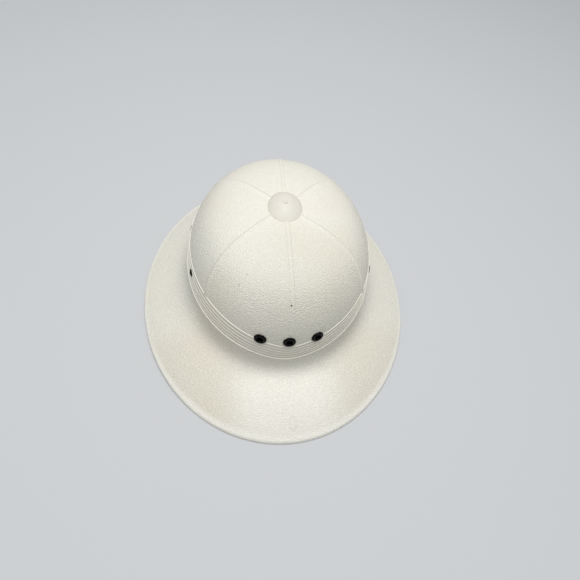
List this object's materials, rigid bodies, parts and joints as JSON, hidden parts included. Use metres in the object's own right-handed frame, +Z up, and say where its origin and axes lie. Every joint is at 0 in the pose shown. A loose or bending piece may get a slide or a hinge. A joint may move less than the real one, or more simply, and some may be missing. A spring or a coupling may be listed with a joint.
{
  "type": "pith helmet",
  "caption": "One-piece moulded sun helmet with an oval domed crown, raised strips, a pleated band, a sloping brim, a top button and black vent eyelets.",
  "frame": {"origin": "middle of the helmet's outline seen from above, on the plane that its rim rests on", "axes": "+Z up through the crown, -Y towards the front of the brim, +Y towards the back"},
  "size_m": [0.27, 0.3152, 0.1346],
  "materials": {
    "shell_plastic": "ivory moulded plastic with a fine pebble grain",
    "button_plastic": "ivory moulded plastic, smoother and slightly greyer than the shell",
    "eyelet_black": "glossy black enamel"
  },
  "bodies": {
    "root": {"shell": "shell_plastic", "top_button": "button_plastic", "eyelet_front_centre": "eyelet_black", "eyelet_front_left": "eyelet_black", "eyelet_front_right": "eyelet_black", "eyelet_side_left": "eyelet_black", "eyelet_side_left_rear": "eyelet_black", "eyelet_side_right": "eyelet_black", "eyelet_side_right_rear": "eyelet_black"}
  },
  "joints": []
}
